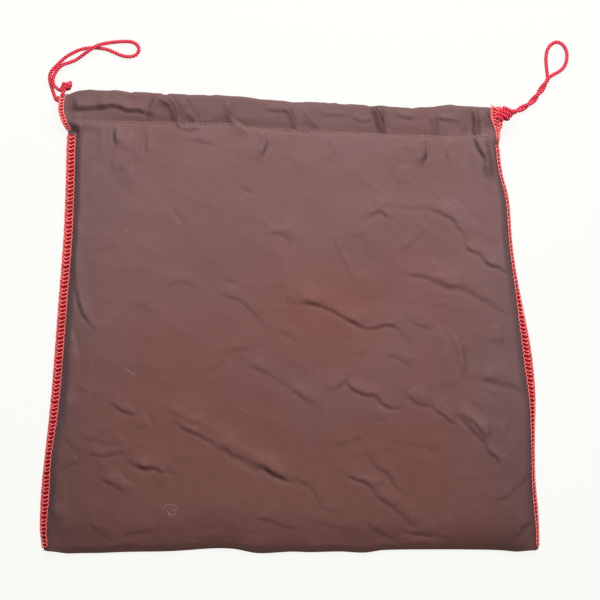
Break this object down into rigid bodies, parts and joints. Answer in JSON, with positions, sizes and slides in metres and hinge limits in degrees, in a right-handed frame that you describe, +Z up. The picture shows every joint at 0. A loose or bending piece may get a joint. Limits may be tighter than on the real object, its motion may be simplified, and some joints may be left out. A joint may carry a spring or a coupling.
{
  "type": "drawstring dust bag",
  "caption": "Flat cloth dust bag with overlocked side seams, a hemmed casing round its mouth and a looped, knotted drawstring at each top corner.",
  "frame": {"origin": "centre of the bag's outline, without the cord loops and knots, on the plane that its back panel lies on", "axes": "+Z up out of the front panel, +Y from the bottom fold to the mouth, +X to the right as the front is seen"},
  "size_m": [0.3981, 0.3863, 0.0148],
  "materials": {
    "cloth": "fine satin-faced cotton, brown shot with mauve",
    "overlock_thread": "thick soft red thread",
    "cord": "twisted crimson cord with a soft shine"
  },
  "bodies": {
    "root": {"bag_cloth": "cloth", "left_seam_overlock": "overlock_thread", "right_seam_overlock": "overlock_thread", "left_casing_edge_front": "overlock_thread", "left_casing_edge_back": "overlock_thread", "right_casing_edge_front": "overlock_thread", "right_casing_edge_back": "overlock_thread", "left_drawstring_run": "cord", "right_drawstring_run": "cord", "left_knot": "cord", "right_knot": "cord", "left_loop": "cord", "right_loop": "cord"}
  },
  "joints": []
}
